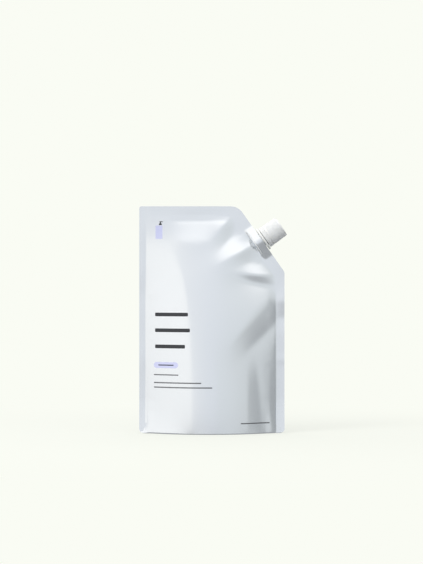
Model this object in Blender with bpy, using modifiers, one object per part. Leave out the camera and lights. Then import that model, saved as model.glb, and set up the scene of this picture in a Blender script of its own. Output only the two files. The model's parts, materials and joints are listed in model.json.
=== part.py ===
"""Hand soap refill pack: a stand-up film pouch with a screw-capped pouring spout in its cut-off corner.

Metres, +Z up, the pack's front faces -Y. The origin is on the floor under the middle of the pack's box.
"""

from math import atan2, cos, hypot, pi, radians, sin, sqrt

import bmesh
import bpy
from mathutils import Matrix, Vector

# Pouch, as sealed and filled
POUCH_WIDTH = 0.150
POUCH_HEIGHT = 0.234
BASE_HALF_DEPTH = 0.0285  # half the depth of the oval rim that the pack stands on
SEAM_HALF_THICKNESS = 0.0003
LEFT_SEAL = 0.007
RIGHT_SEAL = 0.0085
TOP_SEAL = 0.0085
CORNER_SEAL = 0.0105  # measured square to the cut corner
FOOT_RADIUS = 0.0045
TOP_LEFT_RADIUS = 0.002
TAPER = 1.7  # how fast the pack thins towards the top
LOW_FULLNESS = 0.95  # how much fuller than that taper it is above the base
ROUNDNESS = 0.9  # power of the oval across the pack
RIM_SHARE = 0.07  # share of the base's half depth that is flat rim
GUSSET_RISE = 0.0035
GUSSET_TAIL = 1.6  # how soon the base's rise reaches its full height, coming from the side seals
PANEL_COLUMNS = 22
EVEN_SHARE = 0.4  # share of even spacing in the mesh columns, the rest closes up towards the seals

# Cut-off corner: a straight edge from the top to the right side, rounded at both ends
CUT_TOP_X = 0.0270  # where the straight edge would meet the top, from the pouch's middle
CUT_SIDE_Z = 0.1662  # where it would meet the right side
CUT_TOP_RADIUS = 0.0145
CUT_SIDE_RADIUS = 0.006

# Spout, measured outwards from the film's edge along its own axis
SPOUT_BELOW_MIDDLE = 0.0011  # how far down the cut edge its axis is from the edge's middle
BOAT_HALF_LENGTH = 0.0165
BOAT_HALF_THICKNESS = 0.007
BOAT_TIP = 0.0005
BOAT_ARC_STEPS = 12
BOAT_BOTTOM = -0.0105
BOAT_TOP = -0.001
WELD_PAST_TIP = 0.0016  # how far along the edge the film stays swollen past the boat's tips
WELD_FILM = 0.0012  # film round the boat, with the gap to it
WELD_RUN_OUT = 0.045  # how far into the pack the swelling over the boat dies out
SPOUT_EDGE = 0.0003  # bevels on the spout and the ring
FLANGE = (0.0004, 0.0026)
FLANGE_RADIUS = 0.0126
NECK_RADIUS = 0.0080
MOUTH = 0.0220
BORE_RADIUS = 0.00625
BEAD = (0.0053, 0.0066)
BEAD_RADIUS = 0.0087

# Tamper ring
RING = (0.0034, 0.0076)
RING_RADIUS = 0.0113
RING_LIP_TOP = 0.0047
RING_LIP_RADIUS = 0.0083
RING_INNER_RADIUS = 0.0091

# Cap
CAP = (0.0080, 0.0244)
CAP_RADIUS = (0.0111, 0.0107)  # over the ribs, at the skirt's end and at the top
CAP_SKIRT_RADIUS = 0.0109  # the plain band under the ribs
CAP_EDGE = 0.0006  # bevel round the top
CAP_RIBS = 56
RIB_DEPTH = 0.0003
RIB_SPAN = (0.0094, 0.0234)
CAP_TOP_THICKNESS = 0.0018
CAP_INNER_RADIUS = 0.0092
PLUG_RADII = (0.00485, 0.00595)
PLUG_LENGTH = 0.0030

CLEARANCE = 0.0003  # between solids that touch
ROUND_STEPS = 48
MERGE = 0.00001
LONG_CUT = 0.005  # how far a cutter runs past the wall that it cuts


def remove_old_objects():
    for old in list(bpy.data.objects):
        bpy.data.objects.remove(old, do_unlink=True)


def new_collection(name):
    collection = bpy.data.collections.new(name)
    bpy.context.scene.collection.children.link(collection)
    return collection


def make_material(name, colour, roughness, metallic):
    material = bpy.data.materials.new(name)
    material.use_nodes = True
    shader = material.node_tree.nodes["Principled BSDF"]
    shader.inputs["Base Color"].default_value = (*colour, 1.0)
    shader.inputs["Roughness"].default_value = roughness
    shader.inputs["Metallic"].default_value = metallic
    return material


def object_from_bmesh(name, bm, collection, material=None):
    mesh = bpy.data.meshes.new(name)
    bm.to_mesh(mesh)
    bm.free()
    made = bpy.data.objects.new(name, mesh)
    collection.objects.link(made)
    if material:
        mesh.materials.append(material)
    return made


def mark_as_cutter(made):
    made.hide_render = True
    made.display_type = "WIRE"


# Cut corner, spout axis and the pack's place

CUT_TOP = Vector((CUT_TOP_X, 0, POUCH_HEIGHT))
CUT_SIDE = Vector((POUCH_WIDTH / 2, 0, CUT_SIDE_Z))
CUT_LEAN = atan2(CUT_SIDE.x - CUT_TOP.x, CUT_TOP.z - CUT_SIDE.z)  # the edge's angle from vertical
SPOUT_OUT = Vector((cos(CUT_LEAN), 0, sin(CUT_LEAN)))
SPOUT_ALONG = Vector((sin(CUT_LEAN), 0, -cos(CUT_LEAN)))  # down the cut edge
SPOUT_FOOT = (CUT_TOP + CUT_SIDE) / 2 + SPOUT_ALONG * SPOUT_BELOW_MIDDLE
CAP_REACH = (SPOUT_FOOT + SPOUT_OUT * CAP[1] + SPOUT_ALONG * (CAP_RADIUS[1] - CAP_EDGE)).x
POUCH_X = -(CAP_REACH - POUCH_WIDTH / 2) / 2  # puts the middle of the pack's box over the origin


# Pouch

def left_edge(z):
    """The pouch's left outline at a height, with its rounded foot and top corner."""
    edge = -POUCH_WIDTH / 2
    if z < FOOT_RADIUS:
        return edge + FOOT_RADIUS - sqrt(FOOT_RADIUS**2 - (FOOT_RADIUS - z) ** 2)
    above = z - (POUCH_HEIGHT - TOP_LEFT_RADIUS)
    if above > 0:
        return edge + TOP_LEFT_RADIUS - sqrt(max(0, TOP_LEFT_RADIUS**2 - above**2))
    return edge


def right_edge(z):
    """The pouch's right outline at a height: foot, side, rounded corner, cut edge and rounded corner."""
    edge = POUCH_WIDTH / 2
    if z < FOOT_RADIUS:
        return edge - FOOT_RADIUS + sqrt(FOOT_RADIUS**2 - (FOOT_RADIUS - z) ** 2)
    side_bend_z = CUT_SIDE_Z - CUT_SIDE_RADIUS * (1 - cos(CUT_LEAN)) / sin(CUT_LEAN)
    if z < side_bend_z:
        return edge
    if z < side_bend_z + CUT_SIDE_RADIUS * sin(CUT_LEAN):
        return edge - CUT_SIDE_RADIUS + sqrt(CUT_SIDE_RADIUS**2 - (z - side_bend_z) ** 2)
    top_bend_z = POUCH_HEIGHT - CUT_TOP_RADIUS
    if z < top_bend_z + CUT_TOP_RADIUS * sin(CUT_LEAN):
        return cut_line(z)
    top_turn = pi / 2 - CUT_LEAN
    top_bend_x = CUT_TOP_X - CUT_TOP_RADIUS * (1 - cos(top_turn)) / sin(top_turn)
    return top_bend_x + sqrt(max(0, CUT_TOP_RADIUS**2 - (z - top_bend_z) ** 2))


def cut_line(z):
    return POUCH_WIDTH / 2 - (z - CUT_SIDE_Z) * (CUT_SIDE.x - CUT_TOP.x) / (CUT_TOP.z - CUT_SIDE.z)


def seal_lines(z):
    """Where the left and right seals end and the film starts to bulge, at a height."""
    left = -POUCH_WIDTH / 2 + LEFT_SEAL
    right = min(POUCH_WIDTH / 2 - RIGHT_SEAL, cut_line(z) - CORNER_SEAL / cos(CUT_LEAN))
    return left, right


def belly(x, z):
    """Half the pack's depth where only the soap pushes the film out."""
    up = z / (POUCH_HEIGHT - TOP_SEAL)
    left, right = seal_lines(z)
    across = (2 * x - left - right) / (right - left)
    if up >= 1 or abs(across) >= 1:
        return 0
    profile = (1 - up) ** TAPER * (1 + LOW_FULLNESS * up)
    return BASE_HALF_DEPTH * profile * (1 - across**2) ** ROUNDNESS


def weld_swell(x, z):
    """Half the depth where the film is wrapped round the spout's boat and runs out from it."""
    offset = Vector((x, 0, z)) - SPOUT_FOOT
    along = offset.dot(SPOUT_ALONG) / (BOAT_HALF_LENGTH + WELD_PAST_TIP)
    inwards = -offset.dot(SPOUT_OUT)
    if abs(along) >= 1:
        return 0
    fade = min(1, max(0, (inwards + BOAT_BOTTOM - 2 * CLEARANCE) / WELD_RUN_OUT))
    fullness = 0.5 + 0.5 * cos(pi * fade)
    return (BOAT_HALF_THICKNESS + WELD_FILM) * (1 - along**2) * fullness


def half_depth(x, z):
    return SEAM_HALF_THICKNESS + hypot(belly(x, z), weld_swell(x, z))


def steps(start, end, largest):
    """Heights from start up to end in equal steps of about the given size, without the end."""
    count = round((end - start) / largest)
    return [start + (end - start) * i / count for i in range(count)]


def pouch_heights():
    """Heights of the mesh rows, from the floor to the top edge, closer round corners and the spout."""
    weld_low = SPOUT_FOOT.z - BOAT_HALF_LENGTH
    weld_high = SPOUT_FOOT.z + BOAT_HALF_LENGTH
    seal_z = POUCH_HEIGHT - TOP_SEAL
    bend_low = CUT_SIDE_Z - CUT_SIDE_RADIUS
    bend_high = CUT_SIDE_Z + CUT_SIDE_RADIUS
    corner_z = POUCH_HEIGHT - 2 * TOP_LEFT_RADIUS
    heights = steps(0, FOOT_RADIUS, 0.0015)
    heights += steps(FOOT_RADIUS, bend_low, 0.010)
    heights += steps(bend_low, bend_high, 0.002)
    heights += steps(bend_high, weld_low, 0.006)
    heights += steps(weld_low, weld_high, 0.0024)
    heights += steps(weld_high, seal_z, 0.005)
    heights += steps(seal_z, corner_z, 0.0025)
    heights += steps(corner_z, POUCH_HEIGHT, 0.0009)
    return heights + [POUCH_HEIGHT]


def pouch_rows(heights):
    """One list of points for each mesh row of the pack's front half, top edge first, base's middle last.

    A row runs from the middle plane at the left edge, over the front film, to the middle plane at the right.
    """
    shares = [i / PANEL_COLUMNS for i in range(PANEL_COLUMNS + 1)]
    spread = [EVEN_SHARE * (2 * share - 1) - (1 - EVEN_SHARE) * cos(pi * share) for share in shares]
    rows = []
    for z in reversed(heights):
        left, right = seal_lines(z)
        xs = [max(left_edge(z), 0.5 * (left + right) + 0.5 * (right - left) * s) for s in spread]
        xs = [left_edge(z)] + xs + [right_edge(z)]
        front = [Vector((x, -half_depth(x, z), z)) for x in xs]
        ends = [Vector((x, 0, z)) for x in (xs[0], xs[-1])]
        rows.append([ends[0]] + front + [ends[1]])
    rows.insert(0, [Vector((p.x, 0, p.z)) for p in rows[0]])
    rim = rows[-1]
    for share in (1 - RIM_SHARE, 0.75, 0.5, 0.25, 0):  # shares of the base's half depth
        row = []
        for p in rim:
            depth = max(0, -p.y - SEAM_HALF_THICKNESS)
            fall = min(1, GUSSET_TAIL * depth / BASE_HALF_DEPTH)
            rise = GUSSET_RISE * fall * (1 - (share / (1 - RIM_SHARE)) ** 2)
            row.append(Vector((p.x, -depth * share, rise)))
        rows.append(row)
    return rows


def build_pouch(collection, cutters, material, spout_axis):
    rows = pouch_rows(pouch_heights())
    bm = bmesh.new()
    bmesh.ops.create_grid(bm, x_segments=len(rows[0]) - 1, y_segments=len(rows) - 1, size=1)
    bm.verts.ensure_lookup_table()
    for index, vert in enumerate(bm.verts):
        row, column = divmod(index, len(rows[0]))
        vert.co = rows[row][column]
    bmesh.ops.remove_doubles(bm, verts=bm.verts, dist=MERGE)
    bmesh.ops.dissolve_degenerate(bm, edges=bm.edges, dist=MERGE)
    bmesh.ops.recalc_face_normals(bm, faces=bm.faces)
    pouch = object_from_bmesh("pouch", bm, collection, material)
    pouch.location.x = POUCH_X
    pouch.data.shade_smooth()

    mirror = pouch.modifiers.new("back half", "MIRROR")
    mirror.use_axis = (False, True, False)
    mirror.merge_threshold = MERGE
    pocket = boat_solid("spout_pocket", cutters, CLEARANCE, BOAT_BOTTOM - CLEARANCE, LONG_CUT)
    pocket.parent = spout_axis
    mark_as_cutter(pocket)
    cut = pouch.modifiers.new("spout pocket", "BOOLEAN")
    cut.operation = "DIFFERENCE"
    cut.object = pocket


# Spout

def boat_solid(name, collection, grow, bottom, top):
    """The spout's weld base: a pointed oval prism round the spout's axis, as a mesh object."""
    half_length = BOAT_HALF_LENGTH + grow
    side = BOAT_HALF_THICKNESS + grow
    tip = BOAT_TIP + grow
    bulge = side - tip
    arc_radius = (half_length**2 + bulge**2) / (2 * bulge)
    outline = []
    for sign in (1, -1):
        for i in range(BOAT_ARC_STEPS + 1):
            x = sign * half_length * (1 - 2 * i / BOAT_ARC_STEPS)
            outline.append((x, sign * (tip + sqrt(arc_radius**2 - x**2) - (arc_radius - bulge)), 0, 1))
    curve = bpy.data.curves.new(name, "CURVE")
    curve.dimensions = "2D"
    curve.fill_mode = "BOTH"
    curve.extrude = (top - bottom) / 2
    spline = curve.splines.new("POLY")
    spline.points.add(len(outline) - 1)
    for point, place in zip(spline.points, outline):
        point.co = place
    spline.use_cyclic_u = True
    drawn = bpy.data.objects.new(name + "_outline", curve)
    collection.objects.link(drawn)
    bpy.context.view_layer.update()
    mesh = bpy.data.meshes.new_from_object(drawn.evaluated_get(bpy.context.evaluated_depsgraph_get()))
    bpy.data.objects.remove(drawn)
    bm = bmesh.new()
    bm.from_mesh(mesh)
    bpy.data.meshes.remove(mesh)
    bmesh.ops.remove_doubles(bm, verts=bm.verts, dist=MERGE)
    bmesh.ops.translate(bm, verts=bm.verts, vec=(0, 0, (top + bottom) / 2))
    bmesh.ops.recalc_face_normals(bm, faces=bm.faces)
    return object_from_bmesh(name, bm, collection)


def turned(name, profile, collection, material=None, closed=False):
    """A turned shape round +Z. The profile's (radius, height) points run down its outer side."""
    bm = bmesh.new()
    verts = [bm.verts.new((radius, 0, height)) for radius, height in profile]
    for first, second in zip(verts, verts[1:]):
        bm.edges.new((first, second))
    if closed:
        bm.edges.new((verts[-1], verts[0]))
    made = object_from_bmesh(name, bm, collection, material)
    screw = made.modifiers.new("turn", "SCREW")
    screw.axis = "Z"
    screw.angle = 2 * pi
    screw.steps = ROUND_STEPS
    screw.render_steps = ROUND_STEPS
    screw.use_merge_vertices = True
    screw.merge_threshold = MERGE
    return made


def join_or_cut(made, other, operation):
    boolean = made.modifiers.new(other.name, "BOOLEAN")
    boolean.operation = operation
    boolean.object = other
    mark_as_cutter(other)


def build_spout(collection, cutters, material, spout_axis):
    edge = SPOUT_EDGE
    neck = [
        (0, MOUTH),
        (NECK_RADIUS - edge, MOUTH),
        (NECK_RADIUS, MOUTH - edge),
        (NECK_RADIUS, BEAD[1]),
        (BEAD_RADIUS, BEAD[0] + edge),
        (BEAD_RADIUS, BEAD[0]),
        (NECK_RADIUS, BEAD[0]),
        (NECK_RADIUS, FLANGE[1]),
        (FLANGE_RADIUS - edge, FLANGE[1]),
        (FLANGE_RADIUS, FLANGE[1] - edge),
        (FLANGE_RADIUS, FLANGE[0] + edge),
        (FLANGE_RADIUS - edge, FLANGE[0]),
        (NECK_RADIUS - 2 * edge, FLANGE[0]),
        (NECK_RADIUS - 4 * edge, BOAT_TOP - 4 * edge),
        (0, BOAT_TOP - 4 * edge),
    ]
    spout = turned("spout", neck, collection, material)
    boat = boat_solid("spout_boat", cutters, 0, BOAT_BOTTOM, BOAT_TOP)
    bore_ends = (MOUTH + LONG_CUT, BOAT_BOTTOM - LONG_CUT)
    bore_profile = [(0, bore_ends[0]), (BORE_RADIUS, bore_ends[0]), (BORE_RADIUS, bore_ends[1]), (0, bore_ends[1])]
    bore = turned("spout_bore", bore_profile, cutters)
    for piece in (spout, boat, bore):
        piece.parent = spout_axis
    join_or_cut(spout, boat, "UNION")
    join_or_cut(spout, bore, "DIFFERENCE")


# Tamper ring

def build_tamper_ring(collection, material, spout_axis):
    edge = SPOUT_EDGE
    section = [
        (RING_RADIUS - edge, RING[1]),
        (RING_RADIUS, RING[1] - edge),
        (RING_RADIUS, RING[0] + edge),
        (RING_RADIUS - edge, RING[0]),
        (RING_LIP_RADIUS, RING[0]),
        (RING_LIP_RADIUS, RING_LIP_TOP),
        (RING_INNER_RADIUS, RING_LIP_TOP),
        (RING_INNER_RADIUS, RING[1]),
    ]
    ring = turned("tamper_ring", section, collection, material, closed=True)
    ring.parent = spout_axis


# Cap

def cap_radius(height):
    """The cap's outside radius over its ribs at a height: plain skirt band, then the tapering ribs."""
    if height < RIB_SPAN[0]:
        return CAP_SKIRT_RADIUS
    share = (height - RIB_SPAN[0]) / (CAP[1] - RIB_SPAN[0])
    return CAP_RADIUS[0] + (CAP_RADIUS[1] - CAP_RADIUS[0]) * share


def build_cap(collection, cutters, material, spout_axis):
    bm = bmesh.new()
    around = 4 * CAP_RIBS
    bmesh.ops.create_cone(bm, cap_ends=True, segments=around, radius1=1, radius2=1, depth=CAP[1] - CAP[0],
                          matrix=Matrix.Translation((0, 0, (CAP[0] + CAP[1]) / 2)))
    skirt_top = RIB_SPAN[0] - 2 * RIB_DEPTH
    for height in (skirt_top, RIB_SPAN[0], RIB_SPAN[1], CAP[1] - CAP_EDGE):
        bmesh.ops.bisect_plane(bm, geom=bm.verts[:] + bm.edges[:] + bm.faces[:],
                               plane_co=(0, 0, height), plane_no=(0, 0, 1), dist=MERGE)
    for vert in bm.verts:
        turn = round(atan2(vert.co.y, vert.co.x) / (2 * pi) * around)
        in_groove = turn % 4 in (0, 1)
        on_ribs = RIB_SPAN[0] - MERGE < vert.co.z < RIB_SPAN[1] + MERGE
        radius = cap_radius(vert.co.z)
        if on_ribs and in_groove:
            radius -= RIB_DEPTH
        if vert.co.z > CAP[1] - MERGE:
            radius -= CAP_EDGE
        vert.co.x *= radius
        vert.co.y *= radius
    cap = object_from_bmesh("cap", bm, collection, material)
    cap.data.shade_smooth()
    cap.data.set_sharp_from_angle(angle=radians(35))

    ceiling = CAP[1] - CAP_TOP_THICKNESS
    hollow = [
        (0, ceiling),
        (PLUG_RADII[0], ceiling),
        (PLUG_RADII[0], ceiling - PLUG_LENGTH),
        (PLUG_RADII[1], ceiling - PLUG_LENGTH),
        (PLUG_RADII[1], ceiling),
        (CAP_INNER_RADIUS, ceiling),
        (CAP_INNER_RADIUS, CAP[0] - LONG_CUT),
        (0, CAP[0] - LONG_CUT),
    ]
    inside = turned("cap_inside", hollow, cutters)
    for piece in (cap, inside):
        piece.parent = spout_axis
    join_or_cut(cap, inside, "DIFFERENCE")


def build_pack():
    remove_old_objects()
    pack = new_collection("hand_soap_refill_pack")
    cutters = new_collection("cutters")
    film = make_material("pearl_film", (0.80, 0.84, 0.88), 0.36, 0.35)
    moulded_white = make_material("white_moulding", (0.86, 0.87, 0.86), 0.42, 0.0)
    cap_white = make_material("white_cap", (0.88, 0.88, 0.87), 0.40, 0.0)

    spout_axis = bpy.data.objects.new("spout_axis", None)
    pack.objects.link(spout_axis)
    spout_axis.location = SPOUT_FOOT + Vector((POUCH_X, 0, 0))
    spout_axis.rotation_euler.y = pi / 2 - CUT_LEAN

    build_pouch(pack, cutters, film, spout_axis)
    build_spout(pack, cutters, moulded_white, spout_axis)
    build_tamper_ring(pack, moulded_white, spout_axis)
    build_cap(pack, cutters, cap_white, spout_axis)
    bpy.context.view_layer.update()


build_pack()
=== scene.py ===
import json
from math import acos, comb, cos, pi, radians, sin, tan

import bmesh
import bpy
import numpy as np
from mathutils import Matrix, Vector


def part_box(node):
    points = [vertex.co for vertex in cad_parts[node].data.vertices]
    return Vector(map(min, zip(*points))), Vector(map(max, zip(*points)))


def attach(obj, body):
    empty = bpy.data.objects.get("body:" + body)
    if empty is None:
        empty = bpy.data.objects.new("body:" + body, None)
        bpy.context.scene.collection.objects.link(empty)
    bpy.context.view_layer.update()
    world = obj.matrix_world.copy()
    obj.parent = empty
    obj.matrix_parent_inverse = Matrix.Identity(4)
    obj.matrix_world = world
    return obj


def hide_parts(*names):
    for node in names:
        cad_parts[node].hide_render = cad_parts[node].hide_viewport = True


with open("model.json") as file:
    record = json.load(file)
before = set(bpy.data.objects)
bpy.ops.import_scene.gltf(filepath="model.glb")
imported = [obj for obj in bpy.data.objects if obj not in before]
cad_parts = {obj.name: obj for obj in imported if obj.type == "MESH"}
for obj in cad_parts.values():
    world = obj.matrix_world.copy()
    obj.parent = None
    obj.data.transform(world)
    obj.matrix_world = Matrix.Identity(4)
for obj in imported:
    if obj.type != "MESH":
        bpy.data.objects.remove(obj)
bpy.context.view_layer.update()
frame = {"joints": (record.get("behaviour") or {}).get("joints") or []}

# Camera: level and straight in front, at two thirds of the pack's height, with a long lens that keeps the film's
# edges upright. The pack stands in the lower half of an upright picture.
CAMERA_DISTANCE = 2.06
PICTURE_HEIGHT = 0.5826  # what the picture's long side takes in at the pack
CAMERA_HEIGHT = 0.1558
CAMERA_ASIDE = -0.0004
pouch_low, pouch_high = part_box("pouch")
film_middle = (pouch_low.x + pouch_high.x) / 2

camera_lens = bpy.data.cameras.new("camera")
camera_lens.sensor_width = 36
camera_lens.lens = camera_lens.sensor_width * CAMERA_DISTANCE / PICTURE_HEIGHT
camera = bpy.data.objects.new("camera", camera_lens)
camera.location = (film_middle + CAMERA_ASIDE, -CAMERA_DISTANCE, CAMERA_HEIGHT)
camera.rotation_euler.x = pi / 2
bpy.context.scene.collection.objects.link(camera)
bpy.context.scene.camera = camera


# Pouch: front film, back film and a folded-in base of one laminated film, heat-sealed at both sides, the top and the
# cut-off corner, and blown out by the soap. It hangs together as one skin, so it is one piece.
mm = 0.001
FILM = 0.15 * mm  # thickness of one film
HALF_WIDTH = (pouch_high.x - pouch_low.x) / 2
HEIGHT = pouch_high.z
LEFT_SEAL = 7.2 * mm
RIGHT_SEAL = 8.8 * mm
TOP_SEAL = 9.5 * mm
CUT_SEAL = 10.5 * mm
FOOT_RADIUS = 4.5 * mm
TOP_LEFT_RADIUS = 2 * mm
SIDE_BEND_RADIUS = 6 * mm
TOP_BEND_RADIUS = 14.5 * mm
BASE_DEPTH = 28.5 * mm  # from the middle to the front of the base's rim
LEG_SPREAD = 3 * mm  # how far the two films of a side seal stand apart at the floor
GUSSET_HEIGHT = 36 * mm  # where the base's fold meets the side seals
GUSSET_RISE = 3 * mm  # how high the fold stands in the middle
RIM_RADIUS = 1.2 * mm
BOAT_HALF_LENGTH = 16.5 * mm
BOAT_HALF_THICKNESS = 7 * mm
BOAT_DEPTH = 8.5 * mm

cap_joint = frame["joints"][0]
AXIS_AHEAD = 5.5 * mm  # from the film's edge to the joint's point on the spout's axis
spout_out = Vector(cap_joint["axis"]).normalized()
spout_along = Vector((spout_out.z, 0, -spout_out.x))
spout_foot = Vector(cap_joint["pos_m"]) - spout_out * AXIS_AHEAD
CUT_LEAN = acos(spout_out.x)
cut_x, cut_z = spout_foot.x - film_middle, spout_foot.z


def cut_edge(z):
    """The straight cut edge's distance from the film's middle line, at heights z."""
    return cut_x - (z - cut_z) * tan(CUT_LEAN)


def left_outline(z):
    foot = np.clip(FOOT_RADIUS - z, 0, FOOT_RADIUS)
    top = np.clip(z - HEIGHT + TOP_LEFT_RADIUS, 0, TOP_LEFT_RADIUS)
    foot_turn = FOOT_RADIUS - np.sqrt(FOOT_RADIUS**2 - foot**2)
    return -HALF_WIDTH + foot_turn + TOP_LEFT_RADIUS - np.sqrt(TOP_LEFT_RADIUS**2 - top**2)


def right_outline(z):
    foot = np.clip(FOOT_RADIUS - z, 0, FOOT_RADIUS)
    side = HALF_WIDTH - FOOT_RADIUS + np.sqrt(FOOT_RADIUS**2 - foot**2)
    corner_z = cut_z - (HALF_WIDTH - cut_x) / tan(CUT_LEAN)
    side_bend = corner_z - SIDE_BEND_RADIUS * tan(CUT_LEAN / 2)
    side_turn = np.clip(z - side_bend, 0, SIDE_BEND_RADIUS * sin(CUT_LEAN))
    side = side - SIDE_BEND_RADIUS + np.sqrt(SIDE_BEND_RADIUS**2 - side_turn**2)
    top_bend = HEIGHT - TOP_BEND_RADIUS
    top_bend_x = cut_edge(HEIGHT) - TOP_BEND_RADIUS * tan((pi / 2 - CUT_LEAN) / 2)
    top_turn = np.clip(z - top_bend, 0, TOP_BEND_RADIUS)
    top = top_bend_x + np.sqrt(TOP_BEND_RADIUS**2 - top_turn**2)
    edge = np.where(z > side_bend + SIDE_BEND_RADIUS * sin(CUT_LEAN), cut_edge(z), side)
    return np.where(z > top_bend + TOP_BEND_RADIUS * sin(CUT_LEAN), top, edge)


def left_seal_line(z):
    """Inner edge of the left seal, which runs out towards the side in the last centimetre above the floor."""
    return -HALF_WIDTH + LEFT_SEAL - 4 * mm * np.clip(1 - z / (9 * mm), 0, 1) ** 1.5


def right_seal_line(z):
    return np.minimum(HALF_WIDTH - RIGHT_SEAL, cut_edge(z) - CUT_SEAL / cos(CUT_LEAN))


def smooth(t):
    t = np.clip(t, 0, 1)
    return t * t * (3 - 2 * t)


def inside_panel(x, z):
    """Distance from the panel's edge, inwards, with its corners rounded."""
    sides = [x - left_seal_line(z), HALF_WIDTH - RIGHT_SEAL - x, HEIGHT - TOP_SEAL - z,
             (cut_edge(z) - x) * cos(CUT_LEAN) - CUT_SEAL]
    round_off = 2 * mm
    return -round_off * np.log(sum(np.exp(-side / round_off) for side in sides))


def boat_place(x, z):
    """Where a point lies from the spout's boat: along the film's edge and inwards from it."""
    along = (x - cut_x) * spout_along.x + (z - cut_z) * spout_along.z
    inwards = -((x - cut_x) * spout_out.x + (z - cut_z) * spout_out.z)
    return along, inwards


def boat_half_depth(along, film=0.0):
    """Half depth of the boat: round over the bore, with straight wings that end in thin tips."""
    along = np.abs(along)
    radius = BOAT_HALF_THICKNESS + film
    length = BOAT_HALF_LENGTH + 4 * film
    turn = acos(radius / length)
    round_part = np.sqrt(np.clip(radius**2 - along**2, 0, None))
    wing = radius * sin(turn) - (along - radius * cos(turn)) / tan(turn)
    return np.clip(np.where(along < radius * cos(turn), round_part, wing), 0, None)


def leg_offset(z):
    return LEG_SPREAD * np.clip(1 - z / GUSSET_HEIGHT, 0, 1) ** 1.5


def from_way(x, z, way):
    """Nearest distance from points x, z to a Bezier curve, the share of the curve there, and the side, +1 left.

    way holds the curve's control points in millimetres, from the film's middle line and the floor.
    """
    samples = np.linspace(0, 1, 25)
    order = len(way) - 1
    weights = [comb(order, i) * samples**i * (1 - samples) ** (order - i) for i in range(order + 1)]
    line = sum(np.outer(weight, point) for weight, point in zip(weights, way)) * mm
    nearest = np.full(x.shape, 1e9)
    share = np.zeros(x.shape)
    side = np.zeros(x.shape)
    for i in range(len(line) - 1):
        step = line[i + 1] - line[i]
        from_x, from_z = x - line[i, 0], z - line[i, 1]
        t = np.clip((from_x * step[0] + from_z * step[1]) / (step @ step), 0, 1)
        gap = np.hypot(from_x - t * step[0], from_z - t * step[1])
        closer = gap < nearest
        nearest = np.where(closer, gap, nearest)
        share = np.where(closer, (i + t) / (len(line) - 1), share)
        side = np.where(closer, np.sign(step[0] * from_z - step[1] * from_x), side)
    return nearest, share, side


def faded(share, ends):
    """1 in the middle of a way, running out over the given shares of it at both ends."""
    fade = np.ones(share.shape)
    if ends[0]:
        fade *= smooth(share / ends[0])
    if ends[1]:
        fade *= smooth((1 - share) / ends[1])
    return fade


# The film's swelling is that of a membrane held at the seals, the boat and the base's rim, with the soap's pressure
# behind it. A crease is a line along which the film's slope changes at once: a ridge if the change is positive, a
# valley if it is negative. All of it is worked out by relaxation, on a grid of 1 mm squares.
GRID_STEP = 1 * mm
SOAP_LEVEL = 216 * mm
SOAP_LOAD = 11.0  # the membrane's curvature at the floor, per metre
front_creases = [
    # from the left flank to the flat middle, bending off to the top left corner
    dict(way=[(-22, -5), (-25, 70), (-16, 172), (-52, 202)], turn=0.16, width=3.0, ends=(0, 0.35)),
    dict(way=[(4, -5), (4, 40), (4, 100)], turn=0.05, width=2.0, ends=(0, 0.5)),
    # the crest that runs on from the spout's boat, and the troughs above and below it
    dict(way=[(45, 194.4), (30, 187.5), (14, 177), (-2, 168)], turn=0.70, width=2.2, ends=(0, 0.8)),
    dict(way=[(34, 226), (24, 208), (15, 195), (2, 179)], turn=-0.62, width=3.0, ends=(0.15, 0.6)),
    dict(way=[(26, 233), (18, 221), (9, 210), (-1, 196)], turn=0.52, width=2.2, ends=(0.05, 0.5)),
    dict(way=[(62, 180), (46, 179), (30, 176.5), (8, 170)], turn=-0.56, width=4.0, ends=(0.1, 0.7)),
    # the crease from the side's corner
    dict(way=[(66, 162.4), (48, 162.4), (28, 165), (8, 168)], turn=0.66, width=1.3, ends=(0, 0.8)),
    dict(way=[(66, 151), (50, 152), (32, 157), (10, 164)], turn=-0.62, width=3.0, ends=(0, 0.6)),
    # the step down at the right
    dict(way=[(64, 139), (48, 127), (32, 109), (10, 78)], turn=0.36, width=3.5, ends=(0.1, 0.5)),
    dict(way=[(70, 118), (58, 104), (42, 89), (16, 64)], turn=-0.42, width=3.5, ends=(0.1, 0.5)),
    # upright folds below it
    dict(way=[(37, 84), (36, 40), (36.5, -5)], turn=0.16, width=1.8, ends=(0.5, 0)),
    dict(way=[(44, 88), (49, 44), (52, -5)], turn=-0.24, width=2.5, ends=(0.4, 0)),
    dict(way=[(60, 62), (60, 30), (61.5, -5)], turn=0.26, width=1.8, ends=(0.6, 0)),
    # the shoulder under the top seal, and the hollow between the two
    dict(way=[(-44, 200), (-32, 194), (-12, 196), (6, 199)], turn=0.16, width=4.0, ends=(0.3, 0.2)),
    dict(way=[(-48, 218), (-20, 217), (12, 216)], turn=-0.12, width=3.0, ends=(0.3, 0.3)),
    # a slack patch at the left
    dict(way=[(-50, 178), (-52, 155), (-50, 128)], turn=-0.05, width=4.0, ends=(0.3, 0.3)),
]
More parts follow.
